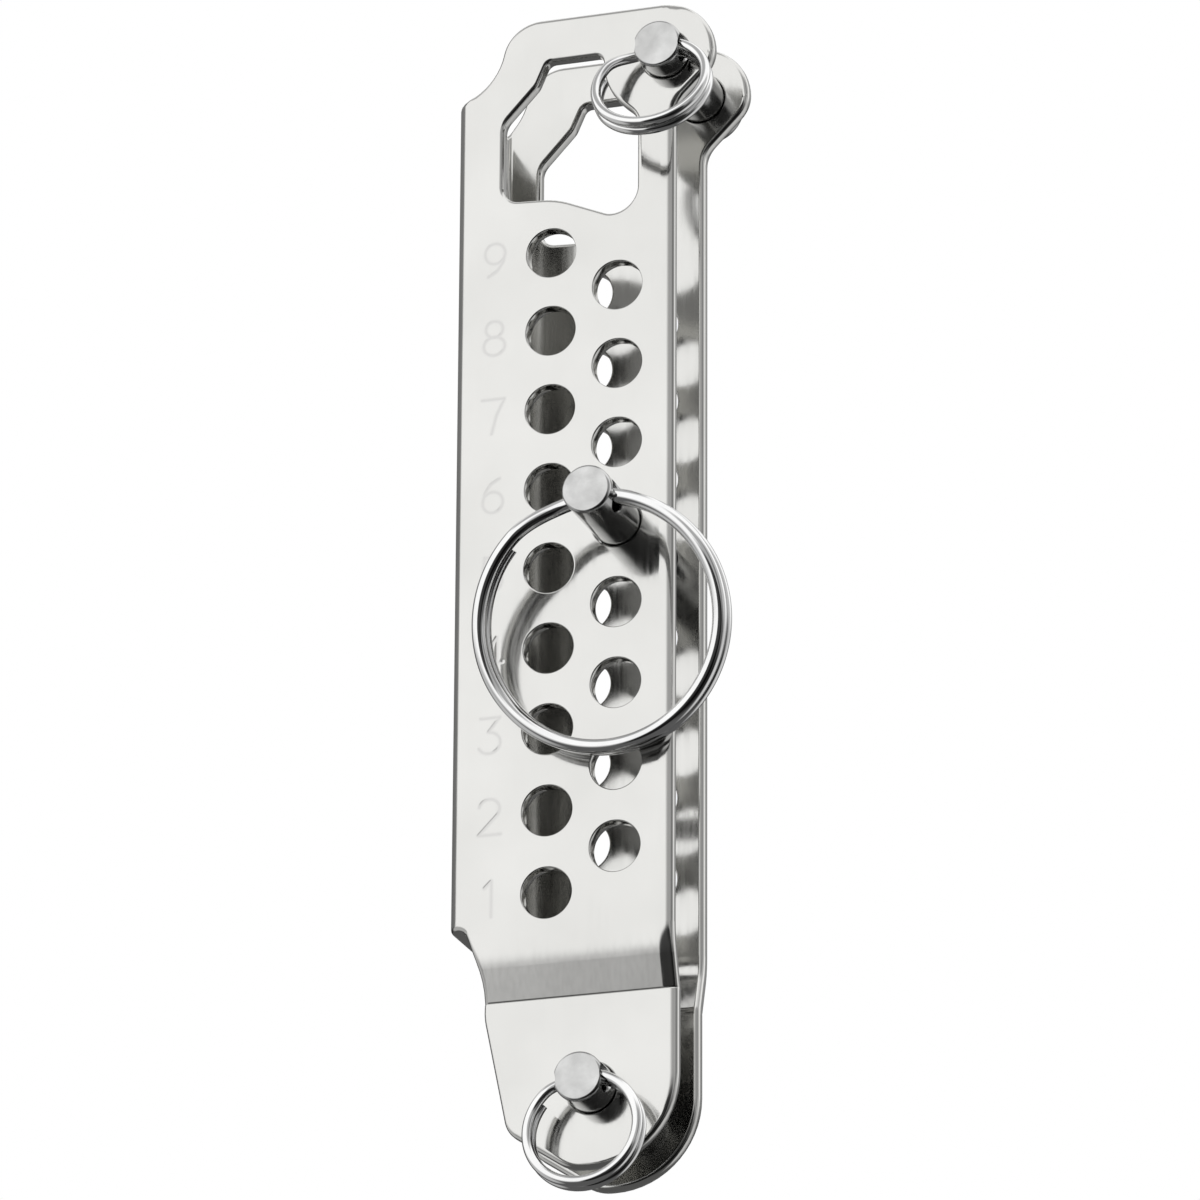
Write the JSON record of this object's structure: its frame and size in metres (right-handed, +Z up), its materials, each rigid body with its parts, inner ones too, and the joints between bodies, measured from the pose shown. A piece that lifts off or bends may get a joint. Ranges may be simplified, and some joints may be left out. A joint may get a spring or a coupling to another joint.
{
  "type": "shroud adjuster",
  "caption": "Folded stainless channel with two columns of adjusting holes, forked at the chainplate, with clevis pins held by split rings.",
  "frame": {"origin": "on the axis of the chainplate pin, midway between the two plates", "axes": "+Z up the channel towards the shroud, +X towards the channel's open side, -Y out of the front plate, where the pin tips and rings are"},
  "size_m": [0.0289, 0.0232, 0.1181],
  "materials": {
    "channel_steel": "satin polished stainless sheet",
    "pin_steel": "turned and polished stainless",
    "ring_wire": "bright drawn stainless spring wire"
  },
  "bodies": {
    "channel": {"channel_body": "channel_steel"},
    "top_pin_body": {"top_pin": "pin_steel"},
    "adjusting_pin_body": {"adjusting_pin": "pin_steel"},
    "chainplate_pin_body": {"chainplate_pin": "pin_steel"},
    "top_ring_body": {"top_ring": "ring_wire"},
    "adjusting_ring_body": {"adjusting_ring": "ring_wire"},
    "chainplate_ring_body": {"chainplate_ring": "ring_wire"}
  },
  "joints": [
    {"name": "top_pin_spin", "type": "hinge", "parent": "channel", "child": "top_pin_body", "pos_m": [0.0074, 0, 0.1018], "axis": [0, 1, 0], "continuous": true},
    {"name": "top_ring_swing", "type": "hinge", "parent": "top_pin_body", "child": "top_ring_body", "pos_m": [0.0074, -0.00775, 0.1018], "axis": [-0.9986, 0, 0.0523], "range_deg": [-22, 156]},
    {"name": "adjusting_pin_spin", "type": "hinge", "parent": "channel", "child": "adjusting_pin_body", "pos_m": [0.00265, 0, 0.0546], "axis": [0, 1, 0], "continuous": true},
    {"name": "adjusting_ring_swing", "type": "hinge", "parent": "adjusting_pin_body", "child": "adjusting_ring_body", "pos_m": [0.00265, -0.0127, 0.0546], "axis": [-1, 0, 0], "range_deg": [0, 156]},
    {"name": "chainplate_pin_spin", "type": "hinge", "parent": "channel", "child": "chainplate_pin_body", "pos_m": [0, 0, 0], "axis": [0, 1, 0], "continuous": true},
    {"name": "chainplate_ring_swing", "type": "hinge", "parent": "chainplate_pin_body", "child": "chainplate_ring_body", "pos_m": [0, -0.00745, 0], "axis": [-0.9986, 0, -0.0523], "range_deg": [-7, 171]}
  ]
}
